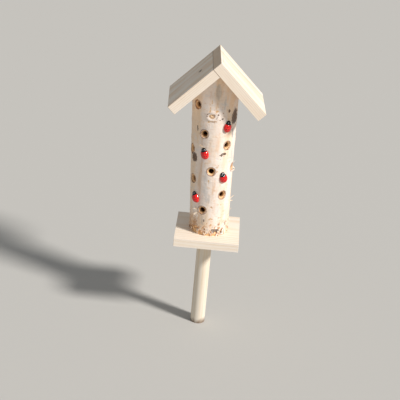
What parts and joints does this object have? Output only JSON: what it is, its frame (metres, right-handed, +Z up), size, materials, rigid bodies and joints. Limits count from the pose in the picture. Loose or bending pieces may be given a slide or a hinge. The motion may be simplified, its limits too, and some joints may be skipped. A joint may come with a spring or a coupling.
{
  "type": "insect hotel",
  "caption": "Small garden insect tower: a drilled birch log under a gabled board roof, on a square board and a pointed ground stake, with stick-on ladybirds.",
  "frame": {"origin": "the stake's axis at ground level, where the stake enters the soil", "axes": "+Z up along the stake, -Y the front with the ladybirds, +X to the right seen from the front"},
  "size_m": [0.1358, 0.0998, 0.6285],
  "materials": {
    "pine": "planed, untreated",
    "birch_log": "bark on, drilled",
    "stake_wood": "turned, untreated",
    "nail_steel": "bright drawn wire",
    "screw_steel": "zinc plated",
    "ladybird_paint": "gloss paint on wood",
    "adhesive_pad": "foam, matt"
  },
  "bodies": {
    "stake": {"stake": "stake_wood"},
    "tower": {"base_board": "pine", "log": "birch_log", "roof_board_right": "pine", "roof_board_left": "pine", "ridge_nail_front": "nail_steel", "ridge_nail_back": "nail_steel", "roof_nail_right": "nail_steel", "roof_nail_left": "nail_steel", "base_screw_left": "screw_steel", "base_screw_right": "screw_steel", "ladybird_1": "ladybird_paint", "ladybird_1_pad": "adhesive_pad", "ladybird_2": "ladybird_paint", "ladybird_2_pad": "adhesive_pad", "ladybird_3": "ladybird_paint", "ladybird_3_pad": "adhesive_pad", "ladybird_4": "ladybird_paint", "ladybird_4_pad": "adhesive_pad"}
  },
  "joints": [
    {"name": "tower_lift", "type": "slide", "parent": "stake", "child": "tower", "axis": [0, 0, 1], "range_m": [0, 0.045]}
  ]
}
